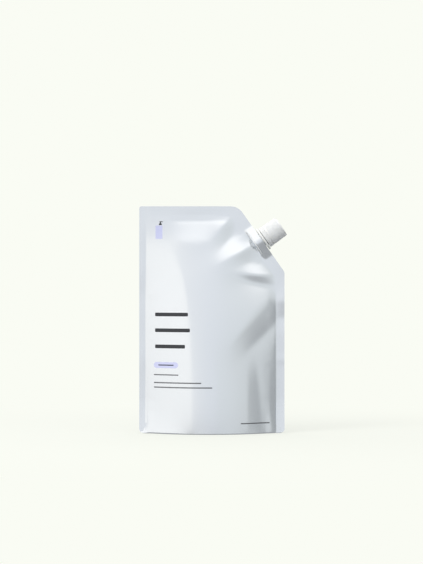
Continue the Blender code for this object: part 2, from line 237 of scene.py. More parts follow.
back_creases = [
    dict(way=[(-26, -5), (-26, 60), (-24, 170), (-54, 200)], turn=0.12, width=4.0, ends=(0, 0.35)),
    dict(way=[(45, 194.4), (32, 186), (18, 174), (4, 160)], turn=0.50, width=2.2, ends=(0, 0.8)),
    dict(way=[(36, 222), (22, 204), (14, 190), (6, 178)], turn=-0.34, width=4.0, ends=(0.3, 0.6)),
    dict(way=[(60, 185), (46, 180), (30, 172), (16, 162)], turn=-0.32, width=3.5, ends=(0.1, 0.7)),
    dict(way=[(66, 160), (50, 160), (32, 157), (14, 150)], turn=0.26, width=2.0, ends=(0, 0.6)),
    dict(way=[(-68, 122), (-56, 106), (-44, 92), (-32, 72)], turn=-0.34, width=4.0, ends=(0.1, 0.6)),
    dict(way=[(-64, 140), (-50, 124), (-38, 108), (-26, 88)], turn=0.28, width=4.0, ends=(0.1, 0.6)),
    dict(way=[(-48, 80), (-49, 40), (-50, -5)], turn=-0.18, width=3.0, ends=(0.4, 0)),
    dict(way=[(30, 120), (38, 80), (40, -5)], turn=0.14, width=3.0, ends=(0.5, 0)),
]
grid_x = np.arange(-HALF_WIDTH - 2 * GRID_STEP, HALF_WIDTH + 2.5 * GRID_STEP, GRID_STEP)
grid_z = np.arange(-2 * GRID_STEP, HEIGHT + 2.5 * GRID_STEP, GRID_STEP)
plan_x, plan_z = np.meshgrid(grid_x, grid_z)
checker = (np.add.outer(np.arange(len(grid_z)), np.arange(len(grid_x))) % 2).astype(bool)
OVERSHOOT = 1.965
SWEEPS = 520


def blow_out(creases):
    """The half depth that the soap gives one film, on the grid."""
    across = 2 * (plan_x - left_seal_line(plan_z)) / (right_seal_line(plan_z) - left_seal_line(plan_z)) - 1
    rim_depth = BASE_DEPTH * np.clip(1 - across**2, 0, 1) ** 0.9
    depth = rim_depth * np.clip(1 - plan_z / HEIGHT, 0, 1) ** 0.7
    along, inwards = boat_place(plan_x, plan_z)
    at_boat = (np.abs(along) < BOAT_HALF_LENGTH + 2.4 * mm) & (inwards < BOAT_DEPTH)
    free = (inside_panel(plan_x, plan_z) > -1 * mm) & (plan_z > 0.5 * GRID_STEP) & ~at_boat
    depth[~free] = 0
    depth[at_boat] = boat_half_depth(along, 0.6 * mm)[at_boat]
    depth[plan_z < 0.5 * GRID_STEP] = (rim_depth - 0.05 * plan_z)[plan_z < 0.5 * GRID_STEP]
    load = SOAP_LOAD * np.clip(1 - np.clip(plan_z / SOAP_LEVEL, 0, 1) ** 2.2, 0.02, 1)
    for crease in creases:
        gap, share, _ = from_way(plan_x, plan_z, crease["way"])
        width = crease["width"] * mm
        peak = crease["turn"] / (width * pi**0.5)
        load += peak * np.exp(-(gap / width) ** 2) * faded(share, crease["ends"])
    load *= GRID_STEP**2
    for sweep in range(SWEEPS):
        for colour in (checker, ~checker):
            around = np.zeros_like(depth)
            around[1:-1, 1:-1] = depth[:-2, 1:-1] + depth[2:, 1:-1] + depth[1:-1, :-2] + depth[1:-1, 2:]
            depth += OVERSHOOT * ((around + load) / 4 - depth) * (free & colour)
    return depth


front_blown, back_blown = blow_out(front_creases), blow_out(back_creases)


def sample(grid, x, z):
    """Values of a grid over the film at points x, z, by cubic B-splines, so that no square shows in the shine."""
    column = np.clip((x - grid_x[0]) / GRID_STEP, 1, len(grid_x) - 2.001)
    row = np.clip((z - grid_z[0]) / GRID_STEP, 1, len(grid_z) - 2.001)
    c, r = column.astype(int), row.astype(int)

    def weights(t):
        return (1 - t) ** 3 / 6, (3 * t**3 - 6 * t**2 + 4) / 6, (-3 * t**3 + 3 * t**2 + 3 * t + 1) / 6, t**3 / 6

    across_weights, up_weights = weights(column - c), weights(row - r)
    return sum(up * side * grid[np.clip(r + i - 1, 0, len(grid_z) - 1), np.clip(c + j - 1, 0, len(grid_x) - 1)]
               for i, up in enumerate(up_weights) for j, side in enumerate(across_weights))


# small puckers that start at the seals, in a pattern of their own on each film
front_puckers, back_puckers = [], []
pucker_dice = np.random.default_rng(7)
for puckers in (front_puckers, back_puckers):
    for seal_x, inward in ((-HALF_WIDTH / mm + 7, 1), (HALF_WIDTH / mm - 9, -1)):
        height = 14
        while height < 150:
            length = pucker_dice.uniform(9, 20)
            lean = pucker_dice.uniform(-3, 3)
            puckers.append(dict(way=[(seal_x, height), (seal_x + inward * length, height + lean)],
                                rise=pucker_dice.uniform(-0.16, 0.16)))
            height += pucker_dice.uniform(6, 13)


def film_depth(x, z, blown, puckers):
    """Half depth of the pack under one film: its distance from the seals' plane at points x, z."""
    inside = np.clip(inside_panel(x, z), 0, None)
    along, inwards = boat_place(x, z)
    # the film rises quickly from the straight seals, and slowly from the one at the cut
    soft_edge = 0.8 * mm + 3 * mm * (1 - smooth((inwards - CUT_SEAL) / (22 * mm)))
    edge = inside / (inside + soft_edge)
    near_boat = smooth((BOAT_HALF_LENGTH + 2.4 * mm - np.abs(along)) / (5 * mm))
    near_boat = near_boat * (1 - smooth((inwards - BOAT_DEPTH) / (16 * mm)))
    depth = sample(blown, x, z) * (edge + (1 - edge) * near_boat)
    for pucker in puckers:
        gap, share, _ = from_way(x, z, pucker["way"])
        width = 2.2 * mm * (1 + share)
        depth = depth + pucker["rise"] * mm * np.exp(-(gap / width) ** 2) * faded(share, (0, 0.8)) * smooth(
            inside / (6 * mm))
    over_boat = inwards < BOAT_DEPTH
    depth = np.where(over_boat, np.maximum(boat_half_depth(along, 0.5 * mm), depth), depth)
    return FILM + leg_offset(z) * (1 - smooth(inside / (12 * mm))) + np.clip(depth, 0, None)


def wave(x, z):
    """How far the whole double film swings to the back at points x, z: only its sealed edges curl."""
    right = smooth((x - HALF_WIDTH + 16 * mm) / (14 * mm)) * smooth((178 * mm - z) / (20 * mm))
    left = smooth((-x - HALF_WIDTH + 14 * mm) / (12 * mm))
    top = smooth((z - HEIGHT + 14 * mm) / (12 * mm))
    bends = (-0.9 * np.exp(-((z / mm - 138) / 8) ** 2) + 0.9 * np.exp(-((z / mm - 117) / 8) ** 2)
             - 0.25 * np.exp(-((z / mm - 76) / 5) ** 2) + 0.3 + 0.6 * smooth(1.5 - z / (80 * mm)))
    lazy = 0.25 * np.sin(z / (17 * mm) + 0.6) + 0.1 * np.sin(z / (7 * mm))
    sag = 0.3 * np.exp(-((z / mm - 219.5) / 3) ** 2) * smooth((x / mm + 55) / 25) * smooth((24 - x / mm) / 15)
    return (right * bends + left * lazy + top * 0.2 * np.sin(x / (12 * mm)) + sag) * mm


def stretch(count, crowd):
    """count places from 0 to 1, crowded towards both ends by the given share."""
    even = np.linspace(0, 1, count)
    return (1 - crowd) * even + crowd * (1 - np.cos(pi * even)) / 2


heights = np.concatenate([np.linspace(HEIGHT, HEIGHT - 3 * mm, 9)[:-1], np.arange(231, 0, -1) * mm, [0]])
left_shares = np.linspace(0, 1, 6)[:-1]
panel_shares = stretch(128, 0.3)
right_shares = np.linspace(0, 1, 12)[1:]
z_rows = heights[:, None]
x_left, x_seal_left = left_outline(z_rows), left_seal_line(z_rows)
x_seal_left = np.maximum(x_seal_left, x_left + 0.5 * mm)
x_right = right_outline(z_rows)
x_seal_right = np.minimum(right_seal_line(z_rows), x_right - 1 * mm)
x_rows = np.hstack([x_left + (x_seal_left - x_left) * left_shares,
                    x_seal_left + (x_seal_right - x_seal_left) * panel_shares,
                    x_seal_right + (x_right - x_seal_right) * right_shares])
z_rows = np.broadcast_to(z_rows, x_rows.shape).copy()


def panel_rows(side, blown, puckers):
    """Points of one film, top row first, with the cut edges' inner columns. side is -1 at the front, 1 at the back."""
    depth = film_depth(x_rows, z_rows, blown, puckers)
    swing = wave(x_rows, z_rows)
    body = np.dstack([x_rows, side * depth + swing, z_rows])
    rim = rim_radius(x_rows[-1], depth[-1])
    body[-1, :, 2] = rim
    middle = side * leg_offset(z_rows[:, 0]) * (z_rows[:, 0] < GUSSET_HEIGHT)
    left_end = body[:, 0].copy()
    left_end[:, 1] = middle + swing[:, 0]
    right_lip = body[:, -1].copy()
    inner = np.clip(depth[:, -1] - 2 * FILM, 0, None)
    in_weld = z_rows[:, -1] > GUSSET_HEIGHT
    right_lip[:, 1] = np.where(in_weld, side * inner, middle) + swing[:, -1]
    right_end = right_lip.copy()
    groove = 1.25 * mm * smooth(inner / (1 * mm)) * in_weld
    right_end[:, 0] -= spout_out.x * groove
    right_end[:, 2] -= spout_out.z * groove
    for end in (left_end, right_lip, right_end):
        end[-1, 2] = 0
    return np.concatenate([left_end[:, None], body, right_lip[:, None], right_end[:, None]], axis=1), depth


def rim_radius(x, depth):
    """Radius of the fold at the base's rim, which is as thin as the film where the side seals stand on it."""
    return 2 * FILM + (RIM_RADIUS - 2 * FILM) * smooth((depth - LEG_SPREAD - FILM) / (5 * mm))


def rim_and_gusset_rows(side, blown, depth):
    """Points from the rim's fold up to the base's middle fold, in rows that match those of the side seals."""
    x = x_rows[-1]
    radius = rim_radius(x, depth[-1])
    swing = wave(x, 0 * x)
    rows = []
    for turn in np.linspace(0, pi / 2, 4)[1:]:
        rows.append(np.column_stack([x, side * (depth[-1] - radius * (1 - cos(turn))) + swing, radius * (1 - sin(turn))]))
    seam = np.minimum(x - left_seal_line(0 * x), HALF_WIDTH - RIGHT_SEAL - x)
    sealed = smooth(1 - seam / (48 * mm))
    rise = GUSSET_RISE + (GUSSET_HEIGHT - GUSSET_RISE) * sealed**1.5
    flat_part = (sealed >= 1)
    low_heights = heights[heights <= GUSSET_HEIGHT + 1e-9][::-1]
    for height in low_heights[1:]:
        share = height / GUSSET_HEIGHT
        z = rise * ((1 - sealed) * sin(share * pi / 2) + sealed * share)
        z = np.where(flat_part, height, z)
        reach = (depth[-1] - radius) * (1 - share)
        leg = np.clip(leg_offset(z) - FILM, 0, None)
        y = np.where(flat_part, leg, reach)
        room = film_depth(x, z, blown, []) - 2 * FILM
        y = np.clip(np.minimum(y, room), 0, None)
        x_here = x.copy()
        x_here[0], x_here[-1] = left_outline(np.array(height)), right_outline(np.array(height))
        rows.append(np.column_stack([x_here, side * y + wave(x_here, z), z]))
    ends = []
    for row, height in zip(rows, [0, 0] + list(low_heights)):
        first, last = row[0].copy(), row[-1].copy()
        for end, outline in ((first, left_outline), (last, right_outline)):
            end[2] = height
            end[0] = outline(np.array(height))
            end[1] = side * leg_offset(height) + wave(end[0], height)
        ends.append((first, last))
    return [np.vstack([first, row, last, last]) for row, (first, last) in zip(rows, ends)]


front, front_depth = panel_rows(-1, front_blown, front_puckers)
back, back_depth = panel_rows(1, back_blown, back_puckers)
top_middle = front[0].copy()
top_middle[:, 1] = wave(top_middle[:, 0], top_middle[:, 2])
front_base = rim_and_gusset_rows(-1, front_blown, front_depth)
back_base = rim_and_gusset_rows(1, back_blown, back_depth)
skin_rows = [top_middle, *front, *front_base, *back_base[-2::-1], *back[::-1], top_middle]
skin = np.array(skin_rows)
row_count, column_count = skin.shape[:2]
skin = skin.reshape(-1, 3) + (film_middle, 0, 0)
corner = np.arange((row_count - 1) * column_count).reshape(row_count - 1, column_count)[:, :-1].ravel()
quads = np.column_stack([corner, corner + column_count, corner + column_count + 1, corner + 1])
# across the groove at the spout, from the front film's last column to the back film's
front_last = (1 + np.arange(len(front))) * column_count + column_count - 1
back_last = (row_count - 2 - np.arange(len(back))) * column_count + column_count - 1
groove_quads = np.column_stack([front_last[:-1], front_last[1:], back_last[1:], back_last[:-1]])
groove_quads = groove_quads[heights[1:] >= GUSSET_HEIGHT]
pouch_mesh = bpy.data.meshes.new("pouch_skin")
pouch_mesh.from_pydata(skin, [], np.vstack([quads, groove_quads]).tolist())
bm = bmesh.new()
bm.from_mesh(pouch_mesh)
bmesh.ops.remove_doubles(bm, verts=bm.verts, dist=0.004 * mm)
bmesh.ops.dissolve_degenerate(bm, edges=bm.edges, dist=0.004 * mm)
bmesh.ops.recalc_face_normals(bm, faces=bm.faces)
bm.to_mesh(pouch_mesh)
bm.free()
pouch_mesh.shade_smooth()
pouch_mesh.set_sharp_from_angle(angle=radians(50))
pouch = bpy.data.objects.new("pouch_skin", pouch_mesh)
bpy.context.scene.collection.objects.link(pouch)

# the film: pearl white foil laminate, printed on the front only with plain fields of colour
film_material = bpy.data.materials.new("pearl_film")
film_material.use_nodes = True
nodes, links = film_material.node_tree.nodes, film_material.node_tree.links
film_shader = nodes["Principled BSDF"]
film_shader.inputs["Metallic"].default_value = 0.85
film_place = nodes.new("ShaderNodeTexCoord").outputs["Object"]
film_axes = nodes.new("ShaderNodeSeparateXYZ")
links.new(film_place, film_axes.inputs[0])


def film_math(operation, *values):
    node = nodes.new("ShaderNodeMath")
    node.operation = operation
    for socket, value in zip(node.inputs, values):
        if isinstance(value, (int, float)):
            socket.default_value = value
        else:
            links.new(value, socket)
    return node.outputs[0]


pearl = nodes.new("ShaderNodeTexNoise")
pearl.inputs["Scale"].default_value = 900
pearl.inputs["Detail"].default_value = 4
links.new(film_place, pearl.inputs["Vector"])
cloud = nodes.new("ShaderNodeTexNoise")
cloud.inputs["Scale"].default_value = 28
links.new(film_place, cloud.inputs["Vector"])
pearl_tone = nodes.new("ShaderNodeMix")
pearl_tone.data_type = "RGBA"
pearl_tone.inputs["A"].default_value = (0.838, 0.865, 0.892, 1)
pearl_tone.inputs["B"].default_value = (0.862, 0.885, 0.908, 1)
links.new(pearl.outputs["Fac"], pearl_tone.inputs["Factor"])
gloss = nodes.new("ShaderNodeMapRange")
gloss.inputs["To Min"].default_value = 0.19
gloss.inputs["To Max"].default_value = 0.25
links.new(cloud.outputs["Fac"], gloss.inputs["Value"])
links.new(gloss.outputs[0], film_shader.inputs["Roughness"])
LAVENDER = (0.61, 0.63, 0.86)
INK = (0.035, 0.037, 0.042)
GREY_INK = (0.16, 0.165, 0.175)
# each field: its middle, its half sizes and its corners' radius, in millimetres from the film's middle line and the
# floor, and its colour
printed = [
    ((-54.6, 207.2), (3.6, 6.9), 0.4, LAVENDER),
    ((-53.2, 215.4), (1.5, 0.8), 0.3, INK),
    ((-53.2, 216.9), (0.6, 1.6), 0.2, INK),
    ((-52.4, 218.0), (1.7, 0.4), 0.2, INK),
    ((-41.5, 122.4), (17.0, 1.9), 0.9, INK),
    ((-40.5, 106.2), (18.0, 1.9), 0.9, INK),
    ((-43.0, 89.6), (15.5, 1.9), 0.9, INK),
    ((-47.2, 70.5), (12.6, 3.1), 3.0, LAVENDER),
    ((-47.2, 70.5), (8.0, 0.55), 0.4, INK),
    ((-47.0, 60.5), (12.7, 0.6), 0.4, GREY_INK),
    ((-35.2, 52.4), (24.4, 0.65), 0.4, GREY_INK),
    ((-29.6, 47.7), (30.0, 0.65), 0.4, GREY_INK),
    ((44.5, 11.0), (15.0, 0.6), 0.4, GREY_INK),
]
on_front = film_math("LESS_THAN", film_axes.outputs["Y"], 0.0)
colour = pearl_tone.outputs["Result"]
inked = None
for (middle_x, middle_z), (half_x, half_z), corner_radius, ink in printed:
    over_x = film_math("SUBTRACT", film_math("ABSOLUTE", film_math(
        "SUBTRACT", film_axes.outputs["X"], film_middle + middle_x * mm)), (half_x - corner_radius) * mm)
    over_z = film_math("SUBTRACT", film_math("ABSOLUTE", film_math(
        "SUBTRACT", film_axes.outputs["Z"], middle_z * mm)), (half_z - corner_radius) * mm)
    reach = film_math("SQRT", film_math("ADD", film_math("POWER", film_math("MAXIMUM", over_x, 0.0), 2.0),
                                        film_math("POWER", film_math("MAXIMUM", over_z, 0.0), 2.0)))
    field = film_math("MULTIPLY", film_math("LESS_THAN", reach, corner_radius * mm), on_front)
    laid = nodes.new("ShaderNodeMix")
    laid.data_type = "RGBA"
    links.new(field, laid.inputs["Factor"])
    links.new(colour, laid.inputs["A"])
    laid.inputs["B"].default_value = (*ink, 1)
    colour = laid.outputs["Result"]
    inked = field if inked is None else film_math("MAXIMUM", inked, field)
links.new(colour, film_shader.inputs["Base Color"])
links.new(film_math("SUBTRACT", 0.85, film_math("MULTIPLY", inked, 0.55)), film_shader.inputs["Metallic"])
grain = nodes.new("ShaderNodeBump")
grain.inputs["Strength"].default_value = 0.06
grain.inputs["Distance"].default_value = 0.00004
links.new(pearl.outputs["Fac"], grain.inputs["Height"])
links.new(grain.outputs["Normal"], film_shader.inputs["Normal"])
pouch_mesh.materials.append(film_material)
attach(pouch, "pack")
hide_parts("pouch")


# Spout: one polyethylene moulding, with a pointed base that the films are welded to, a flange, a neck with a thread
# and a bead that the tamper ring snaps under. Its bore runs from the soap to the mouth.
SPOUT_ROUND = 96  # steps round a turned shape
BORE_RADIUS = 6.25 * mm
NECK_RADIUS = 8 * mm
FLANGE_RADIUS = 12.6 * mm
BEAD_RADIUS = 8.7 * mm
MOUTH = 22 * mm
BOAT_END = -1 * mm
on_spout = Matrix.Translation(spout_foot) @ Matrix(((spout_out.z, 0, spout_out.x, 0), (0, 1, 0, 0),
                                                    (-spout_out.x, 0, spout_out.z, 0), (0, 0, 0, 1)))


def softened(profile):
    """Profile points with their corners rounded. Each point is (radius, height) or (radius, height, rounding), in mm."""
    points = []
    for i, corner_point in enumerate(profile):
        here = Vector(corner_point[:2])
        rounding = corner_point[2] if len(corner_point) > 2 else 0
        if not rounding:
            points.append(here * mm)
            continue
        before = Vector(profile[i - 1][:2]) - here
        after = Vector(profile[(i + 1) % len(profile)][:2]) - here
        reach = min(rounding, before.length * 0.49, after.length * 0.49)
        first, last = here + before.normalized() * reach, here + after.normalized() * reach
        for step in range(5):
            u = step / 4
            points.append(((1 - u) ** 2 * first + 2 * u * (1 - u) * here + u**2 * last) * mm)
    return points


def turned_mesh(name, profile, steps=SPOUT_ROUND):
    """A closed mesh turned round the spout's axis from a closed profile. Points of radius 0 become poles."""
    bm = bmesh.new()
    outline = softened(profile)
    verts = [bm.verts.new((point.x, 0, point.y)) for point in outline]
    edges = [bm.edges.new((verts[i], verts[i - 1])) for i in range(len(verts))
             if outline[i].x > 0 or outline[i - 1].x > 0]
    bmesh.ops.spin(bm, geom=verts + edges, cent=(0, 0, 0), axis=(0, 0, 1), angle=2 * pi, steps=steps,
                   use_duplicate=False)
    bmesh.ops.remove_doubles(bm, verts=bm.verts, dist=0.004 * mm)
    bmesh.ops.recalc_face_normals(bm, faces=bm.faces)
    mesh = bpy.data.meshes.new(name)
    bm.to_mesh(mesh)
    bm.free()
    return mesh


def node_group(name, inputs):
    """A Geometry Nodes tree with a geometry input and the given float inputs, and a function that adds its nodes."""
    tree = bpy.data.node_groups.new(name, "GeometryNodeTree")
    tree.interface.new_socket("Geometry", in_out="OUTPUT", socket_type="NodeSocketGeometry")
    tree.interface.new_socket("Geometry", in_out="INPUT", socket_type="NodeSocketGeometry")
    for label in inputs:
        tree.interface.new_socket(label, in_out="INPUT", socket_type="NodeSocketFloat")
    tree.interface.new_socket("Material", in_out="INPUT", socket_type="NodeSocketMaterial")

    def add(kind, values=(), **settings):
        node = tree.nodes.new(kind)
        for key, value in settings.items():
            setattr(node, key, value)
        for socket, value in dict(values).items():
            if isinstance(value, bpy.types.NodeSocket):
                tree.links.new(value, node.inputs[socket])
            else:
                node.inputs[socket].default_value = value
        return node

    return tree, add


# a thread of so many starts: round ridges on a helix whose ends fade into the wall
thread_tree, add = node_group("thread", ["Radius", "Ridge", "Lead", "Turns", "From", "Starts"])
given = add("NodeGroupInput").outputs
rise = add("ShaderNodeMath", {0: given["Lead"], 1: given["Turns"]}, operation="MULTIPLY").outputs[0]
helix = add("GeometryNodeCurveSpiral", {"Resolution": 48, "Rotations": given["Turns"], "Start Radius": given["Radius"],
                                        "End Radius": given["Radius"], "Height": rise}).outputs[0]
along_helix = add("GeometryNodeSplineParameter").outputs["Factor"]
run_in = add("ShaderNodeMapRange", {"Value": along_helix, "From Max": 0.08, "To Min": 0.1}).outputs[0]
run_out = add("ShaderNodeMapRange", {"Value": along_helix, "From Min": 1.0, "From Max": 0.92, "To Min": 0.1}).outputs[0]
ridge_size = add("ShaderNodeMath", {0: run_in, 1: run_out}, operation="MINIMUM").outputs[0]
sized_helix = add("GeometryNodeSetCurveRadius", {"Curve": helix, "Radius": ridge_size}).outputs[0]
ridge = add("GeometryNodeCurvePrimitiveCircle", {"Resolution": 10, "Radius": given["Ridge"]}).outputs[0]
sweep_node = add("GeometryNodeCurveToMesh", {"Curve": sized_helix, "Profile Curve": ridge, "Fill Caps": True})
if "Scale" in sweep_node.inputs:
    sweep_node.id_data.links.new(ridge_size, sweep_node.inputs["Scale"])
starts = add("GeometryNodeMeshLine", {"Count": given["Starts"], "Offset": (0, 0, 0)}).outputs[0]
start_turn = add("ShaderNodeMath", {0: 2 * pi, 1: given["Starts"]}, operation="DIVIDE").outputs[0]
start_angle = add("ShaderNodeMath", {0: add("GeometryNodeInputIndex").outputs[0], 1: start_turn},
                  operation="MULTIPLY").outputs[0]
start_rotation = add("ShaderNodeCombineXYZ", {"Z": start_angle}).outputs[0]
placed = add("GeometryNodeInstanceOnPoints", {"Points": starts, "Instance": sweep_node.outputs[0],
                                              "Rotation": start_rotation}).outputs[0]
lifted = add("GeometryNodeTransform", {"Geometry": placed,
                                       "Translation": add("ShaderNodeCombineXYZ", {"Z": given["From"]}).outputs[0]})
whole = add("GeometryNodeJoinGeometry", {"Geometry": given["Geometry"]})
thread_tree.links.new(lifted.outputs[0], whole.inputs["Geometry"])
real = add("GeometryNodeRealizeInstances", {"Geometry": whole.outputs[0]}).outputs[0]
coloured = add("GeometryNodeSetMaterial", {"Geometry": real, "Material": given["Material"]}).outputs[0]
add("NodeGroupOutput", {"Geometry": coloured})


def grown(mesh, tree, values, material):
    """The mesh that a Geometry Nodes tree makes from another one."""
    holder = bpy.data.objects.new("holder", mesh)
    bpy.context.scene.collection.objects.link(holder)
    modifier = holder.modifiers.new("grow", "NODES")
    modifier.node_group = tree
    sockets = {item.name: item.identifier for item in tree.interface.items_tree if item.in_out == "INPUT"}
    for label, value in values.items():
        modifier[sockets[label]] = value
    modifier[sockets["Material"]] = material
    evaluated = holder.evaluated_get(bpy.context.evaluated_depsgraph_get())
    made = bpy.data.meshes.new_from_object(evaluated)
    holder.modifiers.remove(modifier)
    bpy.data.objects.remove(holder)
    return made


def finished_piece(name, mesh):
    """The piece of a mesh made round the spout's axis, put where the spout is."""
    mesh.transform(on_spout)
    mesh.shade_smooth()
    mesh.set_sharp_from_angle(angle=radians(40))
    piece = bpy.data.objects.new(name, mesh)
    bpy.context.scene.collection.objects.link(piece)
    return piece


def moulded_plastic(name, colour, roughness):
    """White moulded plastic with the faint mottle and orange peel of a mould's wall."""
    material = bpy.data.materials.new(name)
    material.use_nodes = True
    tree_nodes, tree_links = material.node_tree.nodes, material.node_tree.links
    shader = tree_nodes["Principled BSDF"]
    shader.inputs["IOR"].default_value = 1.5
    shader.inputs["Subsurface Weight"].default_value = 0.25
    shader.inputs["Subsurface Radius"].default_value = (1.0, 0.95, 0.85)
    shader.inputs["Subsurface Scale"].default_value = 0.0012
    where = tree_nodes.new("ShaderNodeTexCoord").outputs["Object"]
    mottle = tree_nodes.new("ShaderNodeTexNoise")
    mottle.inputs["Scale"].default_value = 420
    mottle.inputs["Detail"].default_value = 3
    tree_links.new(where, mottle.inputs["Vector"])
    tone = tree_nodes.new("ShaderNodeMix")
    tone.data_type = "RGBA"
    tone.inputs["A"].default_value = (*[part * 0.97 for part in colour], 1)
    tone.inputs["B"].default_value = (*colour, 1)
    tree_links.new(mottle.outputs["Fac"], tone.inputs["Factor"])
    tree_links.new(tone.outputs["Result"], shader.inputs["Base Color"])
    gloss = tree_nodes.new("ShaderNodeMapRange")
    gloss.inputs["To Min"].default_value = roughness - 0.05
    gloss.inputs["To Max"].default_value = roughness + 0.05
    tree_links.new(mottle.outputs["Fac"], gloss.inputs["Value"])
    tree_links.new(gloss.outputs[0], shader.inputs["Roughness"])
    peel = tree_nodes.new("ShaderNodeTexNoise")
    peel.inputs["Scale"].default_value = 1500
    tree_links.new(where, peel.inputs["Vector"])
    bump = tree_nodes.new("ShaderNodeBump")
    bump.inputs["Strength"].default_value = 0.15
    bump.inputs["Distance"].default_value = 0.00005
    tree_links.new(peel.outputs["Fac"], bump.inputs["Height"])
    tree_links.new(bump.outputs["Normal"], shader.inputs["Normal"])
    return material


spout_plastic = moulded_plastic("white_moulding", (0.87, 0.88, 0.86), 0.42)
spout_tube = turned_mesh("spout", [
    (6.25, -8.5), (6.85, -8.5), (6.85, 0.9), (12.6, 0.9, 0.4), (12.6, 2.6, 0.5), (8.2, 2.6, 0.2),
    (8.0, 3.2), (8.0, 5.3), (8.7, 5.3, 0.1), (8.7, 5.8, 0.3), (8.0, 6.8), (8.0, 22.0, 0.5), (6.25, 22.0, 0.3)])
# the pointed base, with four grooves round it that the molten film flows into
boat_outline = [(u * BOAT_HALF_LENGTH, boat_half_depth(np.array(u * BOAT_HALF_LENGTH)) + 0.3 * mm)
                for u in np.sin(np.linspace(-pi / 2, pi / 2, 33))]
boat_outline += [(x, -y) for x, y in reversed(boat_outline)]
boat_levels = [(-8.5, 0.3), (-8.2, 0.0)]
for groove in range(3):
    level = -7.2 + 2.1 * groove
    boat_levels += [(level, 0.0), (level + 0.2, 0.35), (level + 0.7, 0.35), (level + 0.9, 0.0)]
boat_levels += [(-1.4, 0.0), (-1.2, 0.2)]
bm = bmesh.new()
loops = []
for level, inset in boat_levels:
    loops.append([bm.verts.new((x * (1 - inset * mm / BOAT_HALF_LENGTH),
                                y - np.sign(y) * min(inset * mm, abs(y) * 0.5), level * mm)) for x, y in boat_outline])
for lower, upper in zip(loops, loops[1:]):
    for i in range(len(lower)):
        bm.faces.new((lower[i - 1], lower[i], upper[i], upper[i - 1]))
bm.faces.new(loops[0])
bm.faces.new(loops[-1])
bmesh.ops.remove_doubles(bm, verts=bm.verts, dist=0.004 * mm)
bmesh.ops.recalc_face_normals(bm, faces=bm.faces)
boat_mesh = bpy.data.meshes.new("spout_base")
bm.to_mesh(boat_mesh)
bm.free()
bore_mesh = turned_mesh("spout_bore", [(0, -12), (6.25, -12), (6.25, 24), (0, 24)])
cutters = []
for mesh in (spout_tube, boat_mesh, bore_mesh):
    cutters.append(bpy.data.objects.new(mesh.name, mesh))
    bpy.context.scene.collection.objects.link(cutters[-1])
for other, operation in ((cutters[1], "UNION"), (cutters[2], "DIFFERENCE")):
    boolean = cutters[0].modifiers.new(other.name, "BOOLEAN")
    boolean.operation = operation
    boolean.object = other
spout_mesh = bpy.data.meshes.new_from_object(cutters[0].evaluated_get(bpy.context.evaluated_depsgraph_get()))
for cutter in cutters:
    bpy.data.objects.remove(cutter)
THREAD_LEAD = 4 * mm  # two starts, 2 mm apart
THREAD_TURNS = 1.75
neck_thread = {"Radius": NECK_RADIUS + 0.05 * mm, "Ridge": 0.6 * mm, "Lead": THREAD_LEAD, "Turns": THREAD_TURNS,
               "From": 11.5 * mm, "Starts": 2.0}
spout = finished_piece("spout_moulding", grown(spout_mesh, thread_tree, neck_thread, spout_plastic))
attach(spout, "pack")
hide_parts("spout")


# Tamper ring: moulded with the cap and joined to it by thin bridges. It snaps under the neck's bead, and the bridges
# tear when the cap is first turned, so stubs of them stand on its top.
bars_tree, add = node_group("bars_round", ["Count", "Radius", "Bar", "Length", "From", "Lean"])
given = add("NodeGroupInput").outputs
spots = add("GeometryNodeMeshCircle", {"Vertices": given["Count"], "Radius": given["Radius"]}).outputs[0]
bar = add("GeometryNodeMeshCylinder", {"Vertices": 10, "Radius": given["Bar"], "Depth": given["Length"]}).outputs[0]
half_up = add("ShaderNodeMath", {0: given["Length"], 1: 0.5}, operation="MULTIPLY").outputs[0]
standing = add("GeometryNodeTransform", {
    "Geometry": bar, "Translation": add("ShaderNodeCombineXYZ", {"Z": half_up}).outputs[0]}).outputs[0]
leaning = add("GeometryNodeTransform", {
    "Geometry": standing, "Rotation": add("ShaderNodeCombineXYZ", {"Y": given["Lean"]}).outputs[0]}).outputs[0]
outwards = add("FunctionNodeAlignRotationToVector", {"Vector": add("GeometryNodeInputPosition").outputs[0]}, axis="X")
bars = add("GeometryNodeInstanceOnPoints", {"Points": spots, "Instance": leaning,
                                            "Rotation": outwards.outputs[0]}).outputs[0]
bars_up = add("GeometryNodeTransform", {
    "Geometry": bars, "Translation": add("ShaderNodeCombineXYZ", {"Z": given["From"]}).outputs[0]})
whole = add("GeometryNodeJoinGeometry", {"Geometry": given["Geometry"]})
bars_tree.links.new(bars_up.outputs[0], whole.inputs["Geometry"])
real = add("GeometryNodeRealizeInstances", {"Geometry": whole.outputs[0]}).outputs[0]
coloured = add("GeometryNodeSetMaterial", {"Geometry": real, "Material": given["Material"]}).outputs[0]
add("NodeGroupOutput", {"Geometry": coloured})

ring_plastic = moulded_plastic("white_ring", (0.87, 0.875, 0.86), 0.45)
ring_mesh = turned_mesh("tamper_ring", [
    (8.3, 3.4, 0.15), (11.2, 3.4, 0.3), (11.2, 4.1, 0.2), (11.0, 4.4, 0.1), (10.95, 7.8, 0.2), (9.1, 7.8, 0.2),
    (9.1, 4.9), (8.3, 4.6, 0.2)])
ring_ribs = {"Count": 56.0, "Radius": 10.86 * mm, "Bar": 0.36 * mm, "Length": 3.1 * mm, "From": 4.2 * mm, "Lean": 0.0}
torn_bridges = {"Count": 10.0, "Radius": 10.4 * mm, "Bar": 0.38 * mm, "Length": 0.5 * mm, "From": 7.45 * mm,
                "Lean": 0.0}
ring_mesh = grown(ring_mesh, bars_tree, ring_ribs, ring_plastic)
ring = finished_piece("tamper_band", grown(ring_mesh, bars_tree, torn_bridges, ring_plastic))
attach(ring, "ring")
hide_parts("tamper_ring")


